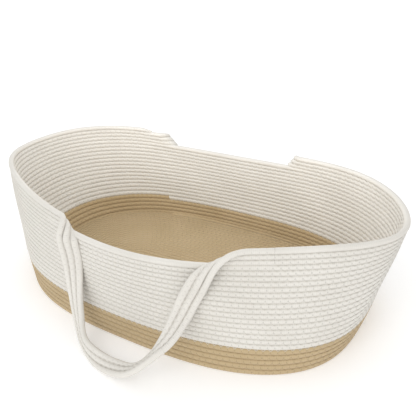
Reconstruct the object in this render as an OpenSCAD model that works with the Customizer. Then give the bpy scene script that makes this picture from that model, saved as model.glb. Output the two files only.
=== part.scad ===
// Rope Moses basket for a baby: an oval floor coiled from rope, a wall of stacked rope
// courses that rises towards both ends, and two carrying straps. The three top courses
// run only around the ends. On each long side they leave the rim together as a strap.
// Origin: centre of the underside. +X along the length, +Z up, -Y is the front.

/* [Rope] */
// Thickness of the rope
rope_diameter = 9; // [8.6:0.1:9.2]
// Clearance between neighbouring ropes of the floor and wall
rope_gap = 0.3; // [0.3:0.05:0.6]

/* [Floor] */
// Overall length of the floor
floor_length = 707; // [660:1:740]
// Overall width of the floor
floor_width = 430; // [410:1:450]
// Squareness of the floor's outline, where 2 is an ellipse
floor_squareness = 2.7; // [2.4:0.1:2.9]

/* [Wall] */
// Overall length at the rim
rim_length = 838; // [800:1:860]
// Overall width at the rim
rim_width = 413; // [400:1:430]
// Squareness of the rim's outline, where 2 is an ellipse
rim_squareness = 1.9; // [1.8:0.05:2.2]
// Mean height that one course adds to the wall
course_rise = 8.9; // [8.8:0.05:9.1]
// Share by which the lowest courses stand taller than the mean
low_course_swell = 0.13; // [0:0.01:0.2]
// How far the ends bulge outward halfway up
end_bulge = 4.5; // [0:0.5:6]
// How much the rim climbs from the middle of a side to its shoulders
shoulder_rise = 24; // [10:1:30]
// Place of the shoulders, as a share of the rim's half length
shoulder_place = 0.8; // [0.75:0.01:0.9]

/* [Handles] */
// X where the front strap leaves the rim at its left
front_left_root = -105; // [-115:1:-95]
// X where the front strap leaves the rim at its right
front_right_root = 166; // [155:1:170]
// X where the rear strap leaves the rim at its left, seen from the front
rear_left_root = -162; // [-170:1:-155]
// X where the rear strap leaves the rim at its right, seen from the front
rear_right_root = 142; // [135:1:150]
// Spacing of the three ropes of a strap
strap_spacing = 9.7; // [9.7:0.1:10.2]

/* [Hidden] */
floor_turns = 22;
tan_courses = 5;
cream_courses = 16;
end_courses = 3;
low_courses = tan_courses + cream_courses;
all_courses = low_courses + end_courses;

tan_rope = "tan";
floor_rope = "burlywood";
cream_rope = "ivory";

// Half sizes of the rope centre line, at the floor and at the rim
floor_a = (floor_length - rope_diameter) / 2;
floor_b = (floor_width - rope_diameter) / 2;
rim_a = (rim_length - rope_diameter) / 2;
rim_b = (rim_width - rope_diameter) / 2;

// The doubled rope in the middle of the floor, and the room its turns share
core_half_width = rope_diameter;
wall_clearance = 1;
turns_half_width = floor_b - rope_diameter / 2 - wall_clearance;
floor_pitch = (turns_half_width - core_half_width) / floor_turns;
spine_half_length = floor_a - floor_b;

// Stations around a full course, around an end and along a strap rope
course_steps = 48;
end_steps = 22;
strap_steps = 30;
rope_sides = 8;
end_clearance = 2;
root_half_width = strap_spacing + rope_diameter / 2 + end_clearance;

// Centre line of a hanging strap, seen from outside: place across from the left root, -1,
// to the right root, 1; distance out from the basket's middle; height; and twist in degrees
STRAP = [
  [-1.00, 208, 206, -10],
  [-0.93, 222, 112, -18],
  [-0.80, 242, 54, 0],
  [-0.58, 268, 23, 0],
  [-0.28, 284, 15, -32],
  [0.05, 289, 16, -66],
  [0.37, 289, 32, -88],
  [0.64, 271, 69, -68],
  [0.82, 245, 111, -10],
  [1.00, 208, 206, -10]
];

function mix(from, to, share) = from + (to - from) * share;
function unit(v) = v / norm(v);

// ---- Outlines in plan ----

// A superellipse with half sizes a and b at angle t
function oval(a, b, squareness, t) =
  let (
    spread = pow(abs(cos(t)), squareness) + pow(abs(sin(t)), squareness)
  )
  pow(spread, -1 / squareness) * [a * cos(t), b * sin(t)];

// Its outward normal
function oval_normal(a, b, squareness, t) =
  let (
    p = oval(a, b, squareness, t),
    power = squareness - 1
  )
  unit([
    sign(p.x) * pow(abs(p.x) / a, power) / a,
    sign(p.y) * pow(abs(p.y) / b, power) / b
  ]);

// The angle at which its rear half crosses a given x
function oval_angle(a, b, squareness, x) =
  atan2(pow(1 - pow(abs(x) / a, squareness), 1 / squareness), x / a);

// A slot shape around the spine: straight sides and round ends, at angle t
function slot(half_width, t) =
  let (
    quarter_arc = PI / 2 * half_width,
    corner = 90 * quarter_arc / (quarter_arc + spine_half_length),
    q = atan2(abs(sin(t)), abs(cos(t))),
    around = 90 * min(q / corner, 1),
    along = spine_half_length * min(1, (90 - q) / (90 - corner)),
    x = along + half_width * cos(around),
    y = half_width * sin(around)
  )
  [cos(t) < 0 ? -x : x, sin(t) < 0 ? -y : y];

// Floor outlines are slots near the spine and take the wall's oval shape further out
function floor_point(half_width, t) =
  let (
    a = spine_half_length + half_width,
    share = pow(half_width / floor_b, 2)
  )
  mix(slot(half_width, t), oval(a, half_width, floor_squareness, t), share);

// ---- The wall's surface: h counts courses up from the floor ----

function wall_a(h) =
  let (u = h / all_courses) mix(floor_a, rim_a, u) + 4 * end_bulge * u * (1 - u);

function wall_b(h) = mix(floor_b, rim_b, h / all_courses);

function wall_squareness(h) = mix(floor_squareness, rim_squareness, h / all_courses);

function shoulder_curve(x) =
  let (q = pow(x / (shoulder_place * rim_a), 2)) shoulder_rise * (2 * q - q * q);

function wall_height(h, x) =
  let (u = h / all_courses)
  course_rise * h * (1 + low_course_swell * (1 - u)) + u * shoulder_curve(x);

function wall_point(h, t, out = 0) =
  let (
    p = oval(wall_a(h), wall_b(h), wall_squareness(h), t),
    n = oval_normal(wall_a(h), wall_b(h), wall_squareness(h), t)
  )
  [p.x + out * n.x, p.y + out * n.y, wall_height(h, p.x)];

// The six corners of a course at angle t: flat above and below, ridged inside and outside
function course_section(h, t) =
  let (
    reach = 0.5 - rope_gap / course_rise / 2,
    flat = rope_diameter / 4,
    ridge = rope_diameter / 2
  )
  [
    wall_point(h + reach, t, -flat),
    wall_point(h + reach, t, flat),
    wall_point(h, t, ridge),
    wall_point(h - reach, t, flat),
    wall_point(h - reach, t, -flat),
    wall_point(h, t, -ridge)
  ];

// ---- The straps ----

// One Catmull-Rom stretch between b and c
function catmull(a, b, c, d, s) =
  0.5 * (2 * b + (c - a) * s + (2 * a - 5 * b + 4 * c - d) * s * s
    + (3 * b - 3 * c + d - a) * s * s * s);

function strap_mark(i) = STRAP[max(0, min(len(STRAP) - 1, i))];

// Place, distance out, height and twist at a share of the strap's length
function strap_row(share) =
  let (
    at = share * (len(STRAP) - 1),
    i = min(floor(at), len(STRAP) - 2)
  )
  catmull(strap_mark(i - 1), strap_mark(i), strap_mark(i + 1), strap_mark(i + 2), at - i);

// roots holds the X of both roots as seen from outside, and side is -1 front or 1 rear
function strap_centre(share, roots, side) =
  let (row = strap_row(share))
  [mix(roots[0], roots[1], (row[0] + 1) / 2), side * row[1], row[2]];

function strap_along(share, roots, side) =
  let (step = 0.002)
  unit(strap_centre(min(1, share + step), roots, side)
    - strap_centre(max(0, share - step), roots, side));

// The strap's face, turned by the twist, and the direction from its inner to its outer edge
function strap_face(share, roots, side) =
  let (
    along = strap_along(share, roots, side),
    outward = [0, side, 0],
    flat = unit(outward - (outward * along) * along),
    twist = strap_row(share)[3]
  )
  flat * cos(twist) + cross(along, flat) * sin(twist);

function strap_section(share, roots, side, lane) =
  let (
    face = strap_face(share, roots, side),
    across = cross(strap_along(share, roots, side), face),
    centre = strap_centre(share, roots, side) + lane * strap_spacing * across
  )
  [for (i = [0:rope_sides - 1])
    let (turn = 360 * (i + 0.5) / rope_sides)
    centre + rope_diameter / 2 * (face * cos(turn) + across * sin(turn))];

// ---- Solids ----

// A skin over rings of equal size, closed into a loop or capped at both ends
module skin(rings, closed = false) {
  sides = len(rings[0]);
  count = len(rings);
  last = closed ? count - 1 : count - 2;
  walls = [for (i = [0:last], j = [0:sides - 1])
    let (
      a = i * sides + j,
      b = i * sides + (j + 1) % sides,
      c = ((i + 1) % count) * sides + (j + 1) % sides,
      d = ((i + 1) % count) * sides + j
    )
    each [[a, b, c], [a, c, d]]];
  first_cap = [for (j = [sides - 1:-1:0]) j];
  last_cap = [for (j = [0:sides - 1]) (count - 1) * sides + j];
  points = [for (ring = rings) each ring];
  polyhedron(points, closed ? walls : concat(walls, [first_cap, last_cap]));
}

module floor_outline(half_width) {
  polygon([for (i = [0:course_steps - 1]) floor_point(half_width, 360 * i / course_steps)]);
}

// The first length of rope, laid straight and doubled back on itself
module floor_core() {
  color(floor_rope)
    linear_extrude(rope_diameter)
      floor_outline(core_half_width - rope_gap / 2);
}

// One turn of the floor, counted outward from the core
module floor_turn(k) {
  inner = core_half_width + (k - 1) * floor_pitch;
  color(floor_rope)
    linear_extrude(rope_diameter)
      difference() {
        floor_outline(inner + floor_pitch - rope_gap / 2);
        floor_outline(inner + rope_gap / 2);
      }
}

// One closed course of the wall, counted up from the floor
module wall_course(k) {
  skin([for (i = [0:course_steps - 1]) course_section(k - 0.5, 360 * i / course_steps)],
    closed = true);
}

module tan_course(k) {
  color(tan_rope) wall_course(k);
}

module cream_course(k) {
  color(cream_rope) wall_course(tan_courses + k);
}

// The angle where a top course stops short of a strap root, on the rear half
function root_angle(h, x) = oval_angle(wall_a(h), wall_b(h), wall_squareness(h), x);

// One course above the low rim, between two angles
module end_course(k, from_angle, to_angle) {
  h = low_courses + k - 0.5;
  color(cream_rope)
    skin([for (i = [0:end_steps])
      course_section(h, mix(from_angle, to_angle, i / end_steps))]);
}

module right_end_course(k) {
  h = low_courses + k - 0.5;
  end_course(k, -root_angle(h, front_right_root + root_half_width),
    root_angle(h, rear_right_root + root_half_width));
}

module left_end_course(k) {
  h = low_courses + k - 0.5;
  end_course(k, root_angle(h, rear_left_root - root_half_width),
    360 - root_angle(h, front_left_root - root_half_width));
}

// One rope of a strap, counted from its inner edge to its outer edge
module strap_rope(k, roots, side) {
  color(cream_rope)
    skin([for (i = [0:strap_steps]) strap_section(i / strap_steps, roots, side, k - 2)]);
}

module front_handle_rope(k) {
  strap_rope(k, [front_left_root, front_right_root], -1);
}

module rear_handle_rope(k) {
  strap_rope(k, [rear_right_root, rear_left_root], 1);
}

floor_core();
for (k = [1:floor_turns])
  floor_turn(k);
for (k = [1:tan_courses])
  tan_course(k);
for (k = [1:cream_courses])
  cream_course(k);
for (k = [1:end_courses])
  left_end_course(k);
for (k = [1:end_courses])
  right_end_course(k);
for (k = [1:end_courses])
  front_handle_rope(k);
for (k = [1:end_courses])
  rear_handle_rope(k);
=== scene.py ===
import math

import bpy
import numpy as np
from mathutils import Matrix, Vector


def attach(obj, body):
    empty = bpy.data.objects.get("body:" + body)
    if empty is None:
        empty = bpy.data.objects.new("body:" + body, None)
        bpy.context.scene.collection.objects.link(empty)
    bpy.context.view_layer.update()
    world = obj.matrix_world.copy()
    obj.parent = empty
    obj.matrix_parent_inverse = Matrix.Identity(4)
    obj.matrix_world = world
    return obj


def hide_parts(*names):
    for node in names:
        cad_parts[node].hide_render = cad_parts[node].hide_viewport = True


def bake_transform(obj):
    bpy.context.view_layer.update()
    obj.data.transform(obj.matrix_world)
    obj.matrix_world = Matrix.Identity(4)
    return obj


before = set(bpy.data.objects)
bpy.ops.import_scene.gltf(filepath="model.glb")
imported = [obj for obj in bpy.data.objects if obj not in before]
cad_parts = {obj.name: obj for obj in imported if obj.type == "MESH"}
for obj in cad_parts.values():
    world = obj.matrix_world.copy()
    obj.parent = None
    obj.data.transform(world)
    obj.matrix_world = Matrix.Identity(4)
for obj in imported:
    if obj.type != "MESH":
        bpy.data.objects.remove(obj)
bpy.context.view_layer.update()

# All lengths below are millimetres. Meshes are scaled to metres when they are made.
MM = 0.001

# ---- The basket's shape, as in the CAD ----

ROPE = 9.0
FLOOR_LENGTH = 707
FLOOR_WIDTH = 430
FLOOR_SQUARE = 2.7
RIM_LENGTH = 838
RIM_WIDTH = 413
RIM_SQUARE = 1.9
# Half sizes of the rope's centre line, at the floor and at the rim
FLOOR_A = (FLOOR_LENGTH - ROPE) / 2
FLOOR_B = (FLOOR_WIDTH - ROPE) / 2
RIM_A = (RIM_LENGTH - ROPE) / 2
RIM_B = (RIM_WIDTH - ROPE) / 2
RIM_TURN = 24
COURSE_RISE = 8.9
LOW_SWELL = 0.13
END_BULGE = 4.5
SHOULDER_RISE = 24.0
SHOULDER_PLACE = 0.8
TAN_TURNS = 5
WALL_TURNS = 21
FLOOR_TURNS = 22
CORE_HALF_WIDTH = 9.0
WALL_CLEARANCE = 1.0
FLOOR_PITCH = (FLOOR_B - ROPE / 2 - WALL_CLEARANCE - CORE_HALF_WIDTH) / FLOOR_TURNS
FLOOR_SPAN = FLOOR_A - FLOOR_B

STRAP_SPACING = 9.7
# Rows of a strap from one root to the other: place, distance out, height, twist in degrees.
STRAP_ROWS = np.array(
    [
        [-1.00, 208, 206, -10],
        [-0.93, 222, 112, -18],
        [-0.80, 242, 54, 0],
        [-0.58, 268, 23, 0],
        [-0.28, 284, 15, -32],
        [0.05, 289, 16, -66],
        [0.37, 289, 32, -88],
        [0.64, 271, 69, -68],
        [0.82, 245, 111, -10],
        [1.00, 208, 206, -10],
    ]
)

# ---- The spiral ----

STITCH = 11.4  # from one needle hole to the next
STEPS_PER_STITCH = 4
SEAM_ANGLE = 2.07  # where one turn of the spiral passes into the next
JOG = 0.08  # share of a turn at each side of the seam where the rope climbs fastest
JOG_CLIMB = 0.3  # share of a course that it climbs there, besides the even climb
EVEN_CLIMB = 0.4  # share of a course that it climbs evenly, all the way round
FOOT_TUCK = 5.5  # how far the first wall rope starts in from the wall
FINE_STEPS = 1500
# The wall's slight waver: size, waves round the basket, lean for each course, and start
WAVERS = ((0.9, 3, 0.31, 1), (0.6, 7, -0.47, 2))
WAVER_GROWTH = 3  # it has its full size at one part in this many of the wall's height


def smooth(x):
    x = np.clip(x, 0, 1)
    return x * x * (3 - 2 * x)


def mix(a, b, share):
    return a + (b - a) * share


def unit(v):
    return v / np.maximum(np.linalg.norm(v, axis=-1, keepdims=True), 1e-9)


def oval(a, b, square, angle):
    c, s = np.cos(angle), np.sin(angle)
    reach = (np.abs(c) ** square + np.abs(s) ** square) ** (-1 / square)
    return a * c * reach, b * s * reach


def wall(height, angle, out=0.0):
    """Points on the wall's middle surface, at a height in courses, and its outward direction."""
    height, angle = np.broadcast_arrays(np.asarray(height, float), np.asarray(angle, float))
    u = height / RIM_TURN
    a = mix(FLOOR_A, RIM_A, u) + 4 * END_BULGE * u * (1 - u)
    b = mix(FLOOR_B, RIM_B, u)
    square = mix(FLOOR_SQUARE, RIM_SQUARE, u)
    x, y = oval(a, b, square, angle)
    outward = unit(
        np.stack(
            [
                np.sign(x) * (np.abs(x) / a) ** (square - 1) / a,
                np.sign(y) * (np.abs(y) / b) ** (square - 1) / b,
                np.zeros_like(x),
            ],
            -1,
        )
    )
    q = (x / (SHOULDER_PLACE * RIM_A)) ** 2
    shoulders = u * SHOULDER_RISE * (2 * q - q * q)
    z = COURSE_RISE * height * (1 + LOW_SWELL * (1 - u)) + shoulders
    waver = sum(
        size * np.sin(waves * angle + lean * height + start)
        for size, waves, lean, start in WAVERS
    )
    point = np.stack([x, y, z], -1)
    return point + outward * (out + waver * smooth(u * WAVER_GROWTH))[..., None], outward


def climb(share):
    """How far the spiral has risen, in courses, after a share of a turn: fastest near the seam."""
    ends = smooth(share / JOG) + smooth((share - 1 + JOG) / JOG)
    return EVEN_CLIMB * share + JOG_CLIMB * ends


def turn_share(angle):
    """The share of a turn at an angle, going clockwise seen from above from the seam."""
    return ((SEAM_ANGLE - angle) / (2 * math.pi)) % 1.0


def wall_line(turn, share, above=0.0):
    """A wall turn's centre line at shares of the turn, or a line above or below it, in courses."""
    share = np.asarray(share, float)
    height = turn - 1 + climb(share)
    angle = SEAM_ANGLE - 2 * math.pi * share
    low = np.clip(1 - 2 * height, 0, 1)
    return wall(np.maximum(height, 0.5) + above, angle, -FOOT_TUCK * low)


def even_shares(line, first, last):
    """Shares from first to last that cut the line into equal steps, in whole stitches."""
    share = np.linspace(first, last, FINE_STEPS)
    step = np.linalg.norm(np.diff(line(share), axis=0), axis=1)
    run = np.concatenate([[0], np.cumsum(step)])
    stitches = max(1, round(run[-1] / STITCH))
    even = np.linspace(0, run[-1], stitches * STEPS_PER_STITCH + 1)
    return np.interp(even, run, share)


# ---- Materials ----


def new_material(name):
    material = bpy.data.materials.new(name)
    material.use_nodes = True
    nodes = material.node_tree.nodes
    return material, nodes, material.node_tree.links, nodes["Principled BSDF"]


def math_node(nodes, links, operation, first, second=None, third=None):
    node = nodes.new("ShaderNodeMath")
    node.operation = operation
    for socket, value in zip(node.inputs, (first, second, third)):
        if value is None:
            continue
        if isinstance(value, (int, float)):
            socket.default_value = value
        else:
            links.new(value, socket)
    return node.outputs[0]


def colour_mix(nodes, links, factor, first, second, kind="MIX"):
    node = nodes.new("ShaderNodeMix")
    node.data_type = "RGBA"
    node.blend_type = kind
    sockets = (node.inputs[0], node.inputs[6], node.inputs[7])
    for socket, value in zip(sockets, (factor, first, second)):
        if isinstance(value, (int, float)):
            socket.default_value = value
        elif isinstance(value, tuple):
            socket.default_value = (*value, 1)
        else:
            links.new(value, socket)
    return node.outputs[2]


# Whole turns added to a rope's v where the needle doesn't pierce it, which its material reads
PLAIN_SHIFT = 10
BRAID_STRANDS = 8  # strands round the rope, each way
BRAIDS_PER_STITCH = 2.0
# Squared distances from a needle hole's middle at which its shade begins and ends to fade
HOLE_INNER = 0.3
HOLE_OUTER = 2.6
HOLE_SHADE = 0.35  # painted shade in a needle hole, as a share of the rope's dark colour


def rope_material(name, light, dark, hole, sheen):
    """Braided cotton: strands leaning both ways with painted shade between them, fuzz, slow changes
    of tone, and needle holes with painted shade.
    """
    material, nodes, links, shader = new_material(name)
    uv = nodes.new("ShaderNodeUVMap")
    uv.uv_map = "rope"
    split = nodes.new("ShaderNodeSeparateXYZ")
    links.new(uv.outputs[0], split.inputs[0])
    along, around = split.outputs[0], split.outputs[1]
    braid_along = math_node(nodes, links, "MULTIPLY", along, BRAIDS_PER_STITCH)
    braid_around = math_node(nodes, links, "MULTIPLY", around, float(BRAID_STRANDS))
    strands = []
    for lean in ("ADD", "SUBTRACT"):
        slope = math_node(nodes, links, lean, braid_along, braid_around)
        turn = math_node(nodes, links, "MULTIPLY", slope, 2 * math.pi)
        strands.append(math_node(nodes, links, "SINE", turn))
    lumps = math_node(nodes, links, "MULTIPLY", strands[0], strands[1])
    lumps = math_node(nodes, links, "MULTIPLY_ADD", lumps, 0.5, 0.5)

    place = nodes.new("ShaderNodeTexCoord")
    fuzz = nodes.new("ShaderNodeTexNoise")
    fuzz.inputs["Scale"].default_value = 900
    fuzz.inputs["Detail"].default_value = 3
    links.new(place.outputs["Object"], fuzz.inputs["Vector"])
    tone = nodes.new("ShaderNodeTexNoise")
    tone.inputs["Scale"].default_value = 14
    tone.inputs["Detail"].default_value = 4
    links.new(place.outputs["Object"], tone.inputs["Vector"])

    # Needle holes: one each stitch, in the middle of the rope's two faces, painted dark as shade
    # and dented by the bump.
    near = math_node(nodes, links, "FRACT", math_node(nodes, links, "ADD", along, 0.5))
    near = math_node(nodes, links, "SUBTRACT", near, 0.5)
    near = math_node(nodes, links, "MULTIPLY", near, STITCH)
    side = math_node(nodes, links, "FRACT", math_node(nodes, links, "MULTIPLY", around, 2.0))
    side = math_node(nodes, links, "SUBTRACT", side, 0.5)
    side = math_node(nodes, links, "MULTIPLY", side, math.pi * ROPE / 2)
    square = math_node(nodes, links, "MULTIPLY", near, near)
    square = math_node(nodes, links, "MULTIPLY_ADD", side, side, square)
    spot = nodes.new("ShaderNodeMapRange")
    spot.interpolation_type = "SMOOTHSTEP"
    spot.inputs["From Min"].default_value = HOLE_INNER
    spot.inputs["From Max"].default_value = HOLE_OUTER
    spot.inputs["To Min"].default_value = hole
    spot.inputs["To Max"].default_value = 0.0
    links.new(square, spot.inputs["Value"])

    pierced = math_node(nodes, links, "LESS_THAN", around, PLAIN_SHIFT / 2)
    hole_shade_and_dent = math_node(nodes, links, "MULTIPLY", spot.outputs[0], pierced)

    shade = math_node(nodes, links, "MULTIPLY_ADD", tone.outputs[0], 0.8, -0.1)
    shade = math_node(nodes, links, "MULTIPLY_ADD", fuzz.outputs[0], 0.35, shade)
    # Painted shade: the braid's crowns are painted lighter and the grooves between its strands
    # darker, on top of the bump; tone and fuzz are the rope's own.
    braid_shade_and_tone = math_node(nodes, links, "MULTIPLY_ADD", lumps, -0.45, shade)
    base = colour_mix(nodes, links, braid_shade_and_tone, light, dark)
    # Painted shade: each needle hole is darkened toward HOLE_SHADE times the rope's dark colour.
    base = colour_mix(nodes, links, hole_shade_and_dent, base, tuple(HOLE_SHADE * c for c in dark))
    links.new(base, shader.inputs["Base Color"])

    relief = math_node(nodes, links, "MULTIPLY_ADD", fuzz.outputs[0], 0.5, lumps)
    relief = math_node(nodes, links, "MULTIPLY_ADD", hole_shade_and_dent, -1.5, relief)
    bump = nodes.new("ShaderNodeBump")
    bump.inputs["Strength"].default_value = 0.7
    bump.inputs["Distance"].default_value = 0.0005
    links.new(relief, bump.inputs["Height"])
    links.new(bump.outputs[0], shader.inputs["Normal"])
    rough = math_node(nodes, links, "MULTIPLY_ADD", fuzz.outputs[0], 0.12, 0.84)
    links.new(rough, shader.inputs["Roughness"])
    shader.inputs["Sheen Weight"].default_value = sheen
    shader.inputs["Sheen Roughness"].default_value = 0.6
    shader.inputs["Specular IOR Level"].default_value = 0.2
    return material


def thread_material(name, light, dark):
    """Twisted sewing thread: fine bands along its length and a slight gloss."""
    material, nodes, links, shader = new_material(name)
    place = nodes.new("ShaderNodeTexCoord")
    twist = nodes.new("ShaderNodeTexWave")
    twist.inputs["Scale"].default_value = 900
    twist.inputs["Distortion"].default_value = 2.5
    links.new(place.outputs["Object"], twist.inputs["Vector"])
    base = colour_mix(nodes, links, twist.outputs["Fac"], dark, light)
    links.new(base, shader.inputs["Base Color"])
    bump = nodes.new("ShaderNodeBump")
    bump.inputs["Strength"].default_value = 0.5
    bump.inputs["Distance"].default_value = 0.0001
    links.new(twist.outputs["Fac"], bump.inputs["Height"])
    links.new(bump.outputs[0], shader.inputs["Normal"])
    shader.inputs["Roughness"].default_value = 0.62
    shader.inputs["Specular IOR Level"].default_value = 0.35
    return material


CREAM_LIGHT = (0.75, 0.725, 0.675)
CREAM_DARK = (0.61, 0.58, 0.525)
TAN_LIGHT = (0.54, 0.42, 0.255)
TAN_DARK = (0.39, 0.285, 0.145)

# hole: the strength of the painted shade in each needle hole
CREAM = rope_material("cream_cotton", CREAM_LIGHT, CREAM_DARK, hole=0.28, sheen=0.2)
STRAP_CREAM = rope_material("strap_cotton", CREAM_LIGHT, CREAM_DARK, hole=0.14, sheen=0.2)
TAN = rope_material("tan_cotton", TAN_LIGHT, TAN_DARK, hole=0.30, sheen=0.15)
CREAM_THREAD = thread_material("cream_thread", (0.78, 0.75, 0.69), (0.62, 0.59, 0.53))
TAN_THREAD = thread_material("tan_thread", (0.58, 0.44, 0.27), (0.40, 0.29, 0.16))

# ---- Rope and thread meshes ----

# The angles of a section's points from the rope's outward face. Sewn ropes press flat against
# each other, and a free one stays round.
PRESSED_ANGLES = np.array([-72.0, -38.0, 0.0, 38.0, 72.0, 108.0, 142.0, 180.0, 218.0, 252.0])
ROUND_ANGLES = np.arange(-90.0, 270.0, 30.0)
THREAD_ANGLES = np.array([90.0, 210.0, 330.0])
PRESSED_SQUARE = 2.7  # squareness of a section, where 2 is an ellipse
ROUND_SQUARE = 2.1
OVERLAP = 1.05  # a section's height over the spacing of its ropes, so that neighbours meet
THREAD_RADIUS = 0.42
RISE_PULL = 0.5  # a dent's share across the rope's height
PLAIN_DENTS = 0.3  # how strong dents are where the needle doesn't pierce the rope
CAP_UV = 0.02
# Dents that the thread makes: place round the section from a face's middle, and width, in degrees
HOLE_DENT = (0, 24)
SIDE_DENT = (-40, 24)
GROOVE_DENT = (-74, 20)
# The zigzag's way from a rope to the one below, and its height as a share of the rope's half
# depth, at each step of a stitch
ZIGZAG_ACROSS = np.array([0.03, 0.36, 0.66, 0.36])
ZIGZAG_HEIGHT = np.array([0.84, 0.885, 0.86, 0.885])


def section(angles, square, fill):
    turn = np.radians(angles)
    depth = np.sign(np.cos(turn)) * np.abs(np.cos(turn)) ** (2 / square)
    height = np.sign(np.sin(turn)) * np.abs(np.sin(turn)) ** (2 / square)
    if fill:
        height = height / np.abs(height).max() * OVERLAP
    return turn, depth, height


PRESSED = section(PRESSED_ANGLES, PRESSED_SQUARE, True)
ROUND = section(ROUND_ANGLES, ROUND_SQUARE, True)
THREAD = section(THREAD_ANGLES, 2.0, False)


def dent(facing, place_and_width):
    place, width = place_and_width
    return np.exp(-(((facing - place) / width) ** 2))


def dents(angles, step, strength):
    """How far the thread pulls in each point of each ring, at its step of the stitch."""
    turned = np.where(np.cos(angles) >= 0, angles, math.pi - angles)
    facing = (np.degrees(turned) + 180) % 360 - 180
    hole = dent(facing, HOLE_DENT)
    side = 0.24 * dent(facing, SIDE_DENT) - 0.04 * hole
    groove = 0.2 * dent(facing, GROOVE_DENT) - 0.15 * hole
    by_step = np.array([0.55 * hole, side, groove, side])
    return by_step[step] * strength


def frames(centre, face):
    """The unit direction along a line, and its face direction made square to it."""
    ahead = unit(np.gradient(centre, axis=0))
    face = unit(face - ahead * np.sum(face * ahead, -1, keepdims=True))
    return ahead, face


class Piece:
    """Collects the tubes of one piece, then makes its mesh."""

    def __init__(self, name, materials):
        self.name = name
        self.materials = materials
        self.points = []
        self.corners = []
        self.sizes = []
        self.uvs = []
        self.kinds = []
        self.caps = []
        self.count = 0

    def tube(self, centre, face, rise, half_depth, half_height, shape, pull, kind, plain=False):
        """Rings of points round a line, the faces between them, and a cap at each end."""
        angles, depth, height = shape
        steps, sides = len(centre), len(angles)
        half_depth = np.broadcast_to(half_depth, steps)[:, None]
        half_height = np.broadcast_to(half_height, steps)[:, None]
        out = depth * half_depth - np.cos(angles) * pull
        up = height * half_height - np.sin(angles) * pull * RISE_PULL
        points = centre[:, None] + face[:, None] * out[..., None] + rise[:, None] * up[..., None]
        i, j = np.meshgrid(np.arange(steps - 1), np.arange(sides), indexing="ij")
        beside = (j + 1) % sides
        this, following = i * sides, (i + 1) * sides
        quads = np.stack([this + j, this + beside, following + beside, following + j], -1)
        around = angles / (2 * math.pi) + 0.25
        v = np.append(around, around[0] + 1)
        unpierced = PLAIN_SHIFT * np.broadcast_to(plain, steps)[:-1, None]
        low, high = v[j] + unpierced, v[j + 1] + unpierced
        ring = [(i, low), (i, high), (i + 1, high), (i + 1, low)]
        uv = np.stack([np.stack([a / STEPS_PER_STITCH, b], -1) for a, b in ring], -2)
        lane = np.arange(sides)
        near, far = lane[::-1], (steps - 1) * sides + lane
        inside_out = np.dot(np.cross(face[0], rise[0]), centre[1] - centre[0]) < 0
        if inside_out:
            quads = quads[..., ::-1]
            uv = uv[..., ::-1, :]
            near, far = near[::-1], far[::-1]
        self.points.append(points.reshape(-1, 3))
        self.corners += [quads.reshape(-1) + self.count, near + self.count, far + self.count]
        self.sizes += [np.full((steps - 1) * sides, 4), np.array([sides, sides])]
        self.uvs += [uv.reshape(-1, 2), np.full((2 * sides, 2), CAP_UV)]
        self.kinds.append(np.full((steps - 1) * sides + 2, kind))
        self.caps.append(np.append(np.zeros((steps - 1) * sides, bool), [True, True]))
        self.count += steps * sides

    def rope(self, centre, face, rise, half_depth, half_height, shape, strength=1.0, plain=False):
        at = np.arange(len(centre)) % STEPS_PER_STITCH
        share = np.where(np.broadcast_to(plain, len(centre)), PLAIN_DENTS, 1.0)[:, None]
        pull = dents(shape[0], at, strength * share)
        self.tube(centre, face, rise, half_depth, half_height, shape, pull, 0, plain)

    def zigzag(self, centre, lower, face, depth):
        """The seam's thread: from holes in a rope, over the joint to the rope below, and back."""
        at = np.arange(len(centre)) % STEPS_PER_STITCH
        across = ZIGZAG_ACROSS[at][:, None]
        height = ZIGZAG_HEIGHT[at]
        path = centre + (lower - centre) * across + face * (depth * height)[:, None]
        ahead, lift = frames(path, face)
        side = np.cross(ahead, lift)
        self.tube(path, lift, side, THREAD_RADIUS, THREAD_RADIUS, THREAD, 0.0, 1)

    def make(self):
        mesh = bpy.data.meshes.new(self.name)
        points = np.concatenate(self.points) * MM
        corners = np.concatenate(self.corners).astype(np.int32)
        sizes = np.concatenate(self.sizes)
        starts = np.concatenate([[0], np.cumsum(sizes)[:-1]]).astype(np.int32)
        mesh.vertices.add(len(points))
        mesh.vertices.foreach_set("co", points.astype(np.float32).ravel())
        mesh.loops.add(len(corners))
        mesh.loops.foreach_set("vertex_index", corners)
        mesh.polygons.add(len(sizes))
        mesh.polygons.foreach_set("loop_start", starts)
        for material in self.materials:
            mesh.materials.append(material)
        mesh.polygons.foreach_set("material_index", np.concatenate(self.kinds).astype(np.int32))
        mesh.polygons.foreach_set("use_smooth", np.ones(len(sizes), bool))
        mesh.update(calc_edges=True)
        layer = mesh.uv_layers.new(name="rope")
        layer.data.foreach_set("uv", np.concatenate(self.uvs).astype(np.float32).ravel())
        edges = np.zeros(len(corners), np.int32)
        mesh.loops.foreach_get("edge_index", edges)
        sharp = np.zeros(len(mesh.edges), bool)
        sharp[edges[np.repeat(np.concatenate(self.caps), sizes)]] = True
        mesh.attributes.new("sharp_edge", "BOOLEAN", "EDGE").data.foreach_set("value", sharp)
        piece = bpy.data.objects.new(self.name, mesh)
        bpy.context.scene.collection.objects.link(piece)
        return piece


# ---- The wall ----

WALL_DEPTH = ROPE / 2 + 0.15
RIM_SWELL = 0.45  # the topmost rope is free to stay a little fatter
TOP_ROPE_END = 0.9975  # share of the last turn at which the rope ends, by the rear left root
# Where the long sides' low rim lies, in X
LOW_RIM_FRONT = (-120, 190)
LOW_RIM_REAR = (-178, 160)
# The rope's last end thins, sinks and turns out
TIP_SIZE = 0.45
TIP_LENGTH = 26
TIP_BLUNT = 2  # length that the tip would still have beyond its end
TIP_SINK = 1.3
TIP_OUT = 3.0


def between(x, ends):
    return (x > ends[0]) & (x < ends[1])


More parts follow.
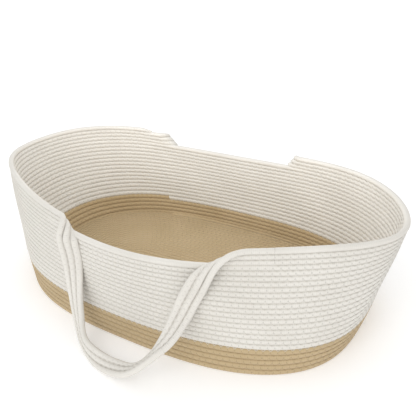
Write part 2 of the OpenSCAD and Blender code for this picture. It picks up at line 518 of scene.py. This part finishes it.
def wall_turn(name, turn, first=0.0, last=1.0, materials=(CREAM, CREAM_THREAD), tucked=False):
    """One turn of the wall, or a part of one, with the seam to the turn below on both faces."""
    shares = even_shares(lambda s: wall_line(turn, s)[0], first, last)
    centre, face = wall_line(turn, shares)
    over = wall_line(turn, shares, 0.5)[0]
    under = wall_line(turn, shares, -0.5)[0]
    lower = wall_line(turn, shares, -1.0)[0]
    half_height = np.linalg.norm(over - under, axis=-1) / 2
    piece = Piece(name, materials)
    shape = ROUND if turn == RIM_TURN else PRESSED
    x, y = centre[:, 0], centre[:, 1]
    low_rim = np.where(y < 0, between(x, LOW_RIM_FRONT), between(x, LOW_RIM_REAR))
    plain = (turn == RIM_TURN) | ((turn == WALL_TURNS) & low_rim)
    rise = unit(over - under)
    depth = WALL_DEPTH + RIM_SWELL * plain
    if tucked:
        left = STITCH / STEPS_PER_STITCH * np.arange(len(centre))[::-1]
        thin = mix(TIP_SIZE, 1.0, smooth((left + TIP_BLUNT) / TIP_LENGTH))
        sunk = centre - rise * (half_height * (1 - thin) * TIP_SINK)[:, None]
        centre = sunk + face * (TIP_OUT * (1 - thin))[:, None]
        depth, half_height = depth * thin, half_height * thin
    piece.rope(centre, face, rise, depth, half_height, shape, plain=plain)
    if turn > 1:
        depth = np.full(len(centre), WALL_DEPTH)
        piece.zigzag(centre, lower, face, depth)
        piece.zigzag(centre, lower, -face, depth)
    return piece.make()


def finish_piece(piece, body, slot, *nodes):
    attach(piece, body)
    if nodes:
        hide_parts(*nodes)


# ---- The floor ----


def slot_outline(half_width, angle):
    """A slot round the spine: straight sides and round ends."""
    arc = math.pi / 2 * half_width
    corner = math.pi / 2 * arc / (arc + FLOOR_SPAN)
    q = np.arctan2(np.abs(np.sin(angle)), np.abs(np.cos(angle)))
    around = math.pi / 2 * np.minimum(q / corner, 1)
    along = FLOOR_SPAN * np.minimum(1, (math.pi / 2 - q) / (math.pi / 2 - corner))
    x = along + half_width * np.cos(around)
    y = half_width * np.sin(around)
    return np.where(np.cos(angle) < 0, -x, x), np.where(np.sin(angle) < 0, -y, y)


def floor_line(turn, share):
    """A floor turn's centre line at shares of the turn."""
    angle = SEAM_ANGLE - 2 * math.pi * share
    half_width = np.maximum(CORE_HALF_WIDTH + (turn - 1 + share) * FLOOR_PITCH, 1.0)
    slot = slot_outline(half_width, angle)
    round_shape = oval(FLOOR_SPAN + half_width, half_width, FLOOR_SQUARE, angle)
    blend = (half_width / FLOOR_B) ** 2
    x, y = (mix(a, b, blend) for a, b in zip(slot, round_shape))
    return np.stack([x, y, np.full_like(x, ROPE / 2)], -1)


CORE_START = -0.17  # the share of turn 0 at which the rope begins, squeezed along the spine
CORE_SQUEEZE = 0.7
CORE_EASE = 0.2  # share of turn 0 over which it takes its full height


def floor_turn(name, turn):
    first = CORE_START if turn == 0 else 0.0
    shares = even_shares(lambda s: floor_line(turn, s), first, 1.0)
    centre = floor_line(turn, shares)
    ahead = unit(np.gradient(centre, axis=0))
    face = np.tile([0.0, 0.0, 1.0], (len(centre), 1))
    outward = np.cross(face, ahead)
    piece = Piece(name, (TAN, TAN_THREAD))
    half_height = np.full(len(centre), FLOOR_PITCH / 2)
    if turn == 0:
        half_height *= mix(CORE_SQUEEZE, 1.0, smooth(shares / CORE_EASE))
    piece.rope(centre, face, outward, ROPE / 2, half_height, PRESSED)
    if turn > 0:
        inner = centre - outward * FLOOR_PITCH
        piece.zigzag(centre, inner, face, np.full(len(centre), ROPE / 2))
    return piece.make()


# ---- The straps ----


NUDGE = 0.004  # share of a strap's length over which its direction is taken


class Strap:
    """A strap's hanging part, from one root (along 0) to the other (along 1)."""

    def __init__(self, side, roots):
        self.side = side
        self.roots = roots

    def row(self, along):
        last = len(STRAP_ROWS) - 1
        at = np.clip(along, 0, 1) * last
        i = np.minimum(np.floor(at).astype(int), last - 1)
        f = (at - i)[:, None]
        a, b, c, d = (STRAP_ROWS[np.clip(i + k, 0, last)] for k in (-1, 0, 1, 2))
        square = (2 * a - 5 * b + 4 * c - d) * f**2
        cube = (3 * b - 3 * c + d - a) * f**3
        return 0.5 * (2 * b + (c - a) * f + square + cube)

    def middle(self, along):
        row = self.row(along)
        x = mix(self.roots[0], self.roots[1], (row[:, 0] + 1) / 2)
        return np.stack([x, self.side * row[:, 1], row[:, 2]], -1)

    def lane(self, along, lane):
        """A rope's centre line and the direction that the strap's outward face looks in."""
        along = np.asarray(along, float)
        following = self.middle(np.minimum(along + NUDGE, 1))
        ahead = unit(following - self.middle(np.maximum(along - NUDGE, 0)))
        outward = np.tile([0.0, float(self.side), 0.0], (len(along), 1))
        flat = unit(outward - ahead * np.sum(outward * ahead, -1, keepdims=True))
        twist = np.radians(self.row(along)[:, 3])[:, None]
        face = flat * np.cos(twist) + np.cross(ahead, flat) * np.sin(twist)
        return self.middle(along) + np.cross(ahead, face) * lane * STRAP_SPACING, face


def climb_on(share):
    """The spiral's rise after any number of turns."""
    whole = np.floor(share)
    return whole + climb(share - whole)


ROOT_STEPS = 3000
WIDEN_EARLY = 20  # length before the crease's middle at which a ribbon begins to widen


class Root:
    """Where three wall ropes fold outward together over a slanting crease and become a strap.

    Along the ribbon u counts millimetres toward the side's middle, from the crease's middle."""

    def __init__(
        self, side, end, fold_x, middle_turn, radius, crease, turn_out=0.0, spread=STRAP_SPACING
    ):
        self.middle_turn = middle_turn
        self.radius = radius
        self.turn_out = -math.radians(turn_out) * side * end
        self.spread = spread
        self.cos, self.sin = math.cos(math.radians(crease)), math.sin(math.radians(crease))
        to_middle = side * math.pi / 2
        from_end = 0.0 if end > 0 else side * math.pi
        angles = np.linspace(from_end, to_middle, ROOT_STEPS)
        halfway = angles[ROOT_STEPS // 2]
        self.whole = round((SEAM_ANGLE - halfway) / (2 * math.pi) - turn_share(halfway))
        line = self.wall(angles, 0.0)[0]
        step = np.linalg.norm(np.diff(line, axis=0), axis=1)
        run = np.concatenate([[0], np.cumsum(step)])
        start = np.interp(0.0, (line[:, 0] - fold_x) * (1 if end < 0 else -1), run)
        self.run, self.angles = run - start, angles
        near = np.array([-1.0, 0.0, 1.0])
        here = self.wall(self.angle(near), 0.0)
        self.origin = here[0][1]
        self.ahead = unit(here[0][2] - here[0][0])
        outward = here[1][1]
        self.outward = unit(outward - self.ahead * np.dot(outward, self.ahead))
        self.up = np.cross(self.outward, self.ahead)
        self.up *= np.sign(self.up[2])
        above = self.wall(self.angle(near), 1.0)[0][1]
        self.spacing = np.linalg.norm(above - self.origin)
        self.crease = self.cos * self.ahead - self.sin * self.up
        self.over = self.sin * self.ahead + self.cos * self.up
        self.last = (math.pi * radius + 1.5 * STRAP_SPACING * self.cos) / self.sin

    def angle(self, u):
        return np.interp(u, self.run, self.angles)

    def wall(self, angle, lane):
        share = (SEAM_ANGLE - angle) / (2 * math.pi) - self.whole
        return wall(self.middle_turn - 1 + climb_on(share) + lane, angle)

    def widen(self, u):
        return mix(self.spacing, self.spread, smooth((u + WIDEN_EARLY) / (self.last + WIDEN_EARLY)))

    def fold_start(self, lane):
        return -lane * self.spacing * self.cos / self.sin

    def fold_end(self, lane):
        return (math.pi * self.radius - lane * self.spread * self.cos) / self.sin

    def folded(self, u, lane):
        """A rope's centre line along the wall and round the fold."""
        flat = self.wall(self.angle(u), lane)[0]
        v = lane * self.widen(u)
        across = u * self.sin + v * self.cos
        along = u * self.cos - v * self.sin
        bend = np.clip(across / self.radius, 0, math.pi)
        beyond = np.maximum(across - math.pi * self.radius, 0)
        reach = np.where(across < 0, across, self.radius * np.sin(bend) - beyond)
        out = self.radius * (1 - np.cos(bend))
        folded = along[:, None] * self.crease + reach[:, None] * self.over
        folded = folded + out[:, None] * self.outward
        level = u[:, None] * self.ahead + (lane * self.spacing) * self.up
        return flat + folded - level

    def lane(self, u, lane):
        """The same line, turned round the middle rope so that the strap looks to one side."""
        middle = self.folded(u, 0)
        axis = unit(np.gradient(middle, axis=0))
        aside = self.folded(u, lane) - middle
        turn = (self.turn_out * smooth(u / self.fold_end(0)))[:, None]
        along = axis * np.sum(aside * axis, -1, keepdims=True)
        turned = (aside - along) * np.cos(turn)
        return middle + along + turned + np.cross(axis, aside) * np.sin(turn)


def hermite(a, ta, b, tb, share):
    s = share[:, None]
    reach = np.linalg.norm(b - a)
    return (
        (2 * s**3 - 3 * s**2 + 1) * a
        + (s**3 - 2 * s**2 + s) * reach * ta
        + (3 * s**2 - 2 * s**3) * b
        + (s**3 - s**2) * reach * tb
    )


RIBBON_WALL = 36.0  # length of wall that a root piece takes with it
FOLD_STEPS = 400
BRIDGE_STEPS = 60
LANES = (-1, 0, 1)
STRAP_DENTS = 0.5


def root_lines(strap, root, along):
    """Dense lines of the three ropes from the wall through the fold to the hanging strap."""
    u = np.linspace(root.fold_start(1) - RIBBON_WALL, root.last, FOLD_STEPS)
    nudge = NUDGE if along < 0.5 else -NUDGE
    share = np.linspace(0, 1, BRIDGE_STEPS + 1)[1:]
    lines = []
    for lane in LANES:
        line = root.lane(u, lane)
        there = strap.lane(np.array([along, along + nudge]), lane)[0]
        leaving = unit(line[-1] - line[-3])
        arriving = unit(there[1] - there[0])
        bridge = hermite(line[-1], leaving, there[0], arriving, share)
        lines.append(np.concatenate([line, bridge]))
    return lines


class Ribbon:
    """Three ropes side by side on shared stations, one stitch step apart on the middle rope."""

    def __init__(self, lines, first_face):
        middle = lines[1]
        step = np.linalg.norm(np.diff(middle, axis=0), axis=1)
        run = np.concatenate([[0], np.cumsum(step)])
        stitches = max(1, round(run[-1] / STITCH))
        even = np.linspace(0, run[-1], stitches * STEPS_PER_STITCH + 1)
        at = np.interp(even, run, np.arange(len(middle)))
        index = np.arange(len(middle))
        self.lines = [
            np.stack([np.interp(at, index, rows[:, k]) for k in range(3)], -1) for rows in lines
        ]
        self.aheads = [unit(np.gradient(rows, axis=0)) for rows in self.lines]
        beside = self.lines[2] - self.lines[0]
        beside = beside - self.aheads[1] * np.sum(beside * self.aheads[1], -1, keepdims=True)
        self.half_heights = np.linalg.norm(beside, axis=-1) / 4
        face = np.cross(self.aheads[1], beside)
        way = np.sign(np.dot(face[0], first_face))
        self.faces = [unit(way * np.cross(ahead, beside)) for ahead in self.aheads]
        self.beside = beside


def strap_piece(name, ribbon, lane):
    """One rope of a ribbon, with the seam to the rope beside it."""
    k = lane + 1
    centre, face = ribbon.lines[k], ribbon.faces[k]
    rise = np.cross(ribbon.aheads[k], face)
    rise = rise * np.sign(np.sum(rise * ribbon.beside, -1, keepdims=True))
    piece = Piece(name, (STRAP_CREAM, CREAM_THREAD))
    shape, edge = (ROUND, RIM_SWELL) if lane == 1 else (PRESSED, 0.0)
    piece.rope(centre, face, rise, WALL_DEPTH + edge, ribbon.half_heights, shape, STRAP_DENTS)
    if k > 0:
        depth = np.full(len(centre), WALL_DEPTH)
        lower = centre - rise * (2 * ribbon.half_heights)[:, None]
        for way in (1, -1):
            piece.zigzag(centre, lower, face * way, depth)
    return piece.make()


# ---- Building the pieces ----

# Each strap's side and the X of its two roots, from the left one seen from outside
front = Strap(-1, (-105.0, 166.0))
rear = Strap(1, (142.0, -162.0))

# Each root's strap, the strap's share at which its fold has settled into the hang, and its fold.
ROOTS = {
    "front_left": (
        front,
        0.22,
        Root(-1, -1, fold_x=-119, middle_turn=23, radius=9.5, crease=42, turn_out=34, spread=11.8),
    ),
    "front_right": (
        front,
        0.815,
        Root(-1, 1, fold_x=219, middle_turn=23, radius=13.5, crease=28.5, spread=10.6),
    ),
    "rear_right": (rear, 0.20, Root(1, 1, fold_x=151, middle_turn=23, radius=10, crease=50)),
    "rear_left": (rear, 0.78, Root(1, -1, fold_x=-178, middle_turn=22, radius=10, crease=54)),
}
BEND_BEFORE = 1.0  # the rope's direction at the fold's start is taken over this length
BEND_LATE = 5  # how far past the fold's start, straight toward the end, the start point is moved
BEND_AFTER = 12.0  # how far past the fold's end the stop point is taken


def wall_end(name):
    """The share of a turn at which a root's own pieces take over from the wall's."""
    root = ROOTS[name][2]
    return float(turn_share(root.angle(root.fold_start(1) - RIBBON_WALL)))


for name, (strap, along, root) in ROOTS.items():
    ribbon = Ribbon(root_lines(strap, root, along), root.outward)
    for lane in LANES:
        piece = strap_piece(f"{name}_root_rope_{lane + 2}", ribbon, lane)
        first, last = root.fold_start(lane), root.fold_end(lane)
        start = root.lane(np.array([first - BEND_BEFORE, first]), lane)[1]
        stop = root.lane(np.array([last, last + BEND_AFTER]), lane)[1]
        start = start + unit(stop - start) * BEND_LATE
        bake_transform(piece)

for name, strap in (("front", front), ("rear", rear)):
    first, last = (root[1] for root in ROOTS.values() if root[0] is strap)
    along = np.linspace(first, last, 500)
    lines = [strap.lane(along, lane)[0] for lane in LANES]
    ribbon = Ribbon(lines, -strap.lane(along[:2], 0)[1][0])
    for lane in LANES:
        piece = strap_piece(f"{name}_strap_rope_{lane + 2}", ribbon, lane)
        finish_piece(piece, f"{name}_handle", "strap_rope", f"{name}_handle_rope_{lane + 2}")

for turn in range(1, WALL_TURNS + 1):
    last = wall_end("rear_left") if turn == WALL_TURNS else 1.0
    if turn <= TAN_TURNS:
        piece = wall_turn(f"tan_wall_rope_{turn}", turn, materials=(TAN, TAN_THREAD))
        finish_piece(piece, "basket", "tan_rope", f"tan_course_{turn}")
    else:
        number = turn - TAN_TURNS
        piece = wall_turn(f"cream_wall_rope_{number}", turn, last=last)
        finish_piece(piece, "basket", "cream_rope", f"cream_course_{number}")

for number in (1, 2, 3):
    turn = WALL_TURNS + number
    first, last = wall_end("rear_right"), wall_end("front_right")
    piece = wall_turn(f"right_end_rope_{number}", turn, first, last)
    finish_piece(piece, "basket", "cream_rope", f"right_end_course_{number}")
    is_top = turn == RIM_TURN
    first = wall_end("front_left")
    last = TOP_ROPE_END if is_top else wall_end("rear_left")
    piece = wall_turn(f"left_end_rope_{number}", turn, first, last, tucked=is_top)
    finish_piece(piece, "basket", "cream_rope", f"left_end_course_{number}")

piece = floor_turn("floor_rope_0", 0)
finish_piece(piece, "basket", "tan_rope", "floor_core")
for turn in range(1, FLOOR_TURNS + 1):
    piece = floor_turn(f"floor_rope_{turn}", turn)
    finish_piece(piece, "basket", "tan_rope", f"floor_turn_{turn}")

# ---- Floor, light and camera, in metres ----

GROUND_HALF = 20.0
GROUND_DROP = 0.0004
GROUND_GLOW = 0.15  # keeps the studio's floor pale under the basket
SKY = 0.85
KEY_TOWARD = (-0.25, 1.0, -0.7)
KEY_SOFTNESS = 60  # degrees
KEY_STRENGTH = 0.95
# Two soft lamps low over the basket's inside, which the camera doesn't see
BULB_X = 0.17
BULB_HEIGHT = 0.28
BULB_RADIUS = 0.12
BULB_POWER = 0.72

def backdrop():
    mesh = bpy.data.meshes.new("studio_floor")
    half = GROUND_HALF
    corners = [(-half, -half, 0), (half, -half, 0), (half, half, 0), (-half, half, 0)]
    mesh.from_pydata(corners, [], [(0, 1, 2, 3)])
    ground = bpy.data.objects.new("studio_floor", mesh)
    ground.location.z = -GROUND_DROP
    bpy.context.scene.collection.objects.link(ground)
    material, nodes, links, shader = new_material("pale_floor")
    grain = nodes.new("ShaderNodeTexNoise")
    grain.inputs["Scale"].default_value = 30
    base = colour_mix(nodes, links, grain.outputs[0], (0.93, 0.93, 0.93), (0.96, 0.96, 0.96))
    links.new(base, shader.inputs["Base Color"])
    shader.inputs["Emission Color"].default_value = (1, 1, 1, 1)
    shader.inputs["Emission Strength"].default_value = GROUND_GLOW
    shader.inputs["Roughness"].default_value = 0.9
    shader.inputs["Specular IOR Level"].default_value = 0.1
    mesh.materials.append(material)


def bulb(name, x):
    data = bpy.data.lights.new(name, "POINT")
    data.shadow_soft_size = BULB_RADIUS
    data.energy = BULB_POWER
    light = bpy.data.objects.new(name, data)
    light.location = (x, 0.0, BULB_HEIGHT)
    light.visible_camera = False
    bpy.context.scene.collection.objects.link(light)


def sun(name):
    data = bpy.data.lights.new(name, "SUN")
    data.angle = math.radians(KEY_SOFTNESS)
    data.energy = KEY_STRENGTH
    light = bpy.data.objects.new(name, data)
    light.rotation_euler = Vector(KEY_TOWARD).to_track_quat("-Z", "Y").to_euler()
    bpy.context.scene.collection.objects.link(light)


def studio_light():
    world = bpy.data.worlds.new("studio")
    world.use_nodes = True
    sky = world.node_tree.nodes["Background"]
    sky.inputs[0].default_value = (1, 1, 1, 1)
    sky.inputs[1].default_value = SKY
    bpy.context.scene.world = world
    sun("key")
    bulb("inside_left", -BULB_X)
    bulb("inside_right", BULB_X)


CAMERA_PLACE = (0.582396, -0.783221, 0.697564)
CAMERA_AZIMUTH = 33.986  # degrees, round from the front toward +X
CAMERA_ELEVATION = 28.908
CAMERA_ROLL = -4.355
CAMERA_LENS = 49.9  # millimetres, as is the sensor's width
CAMERA_SENSOR = 36.0


def camera():
    azimuth = math.radians(CAMERA_AZIMUTH)
    elevation = math.radians(CAMERA_ELEVATION)
    roll = math.radians(CAMERA_ROLL)
    level_reach = math.cos(elevation)
    back = Vector(
        (math.sin(azimuth) * level_reach, -math.cos(azimuth) * level_reach, math.sin(elevation))
    )
    right = (-back).cross(Vector((0, 0, 1))).normalized()
    up = right.cross(-back)
    level = Matrix((right, up, back)).transposed()
    data = bpy.data.cameras.new("camera")
    data.lens = CAMERA_LENS
    data.sensor_width = CAMERA_SENSOR
    view = bpy.data.objects.new("camera", data)
    turned = level @ Matrix.Rotation(roll, 3, "Z")
    view.matrix_world = Matrix.Translation(CAMERA_PLACE) @ turned.to_4x4()
    bpy.context.scene.collection.objects.link(view)
    bpy.context.scene.camera = view


backdrop()
studio_light()
camera()
bpy.context.scene.view_settings.view_transform = "Standard"
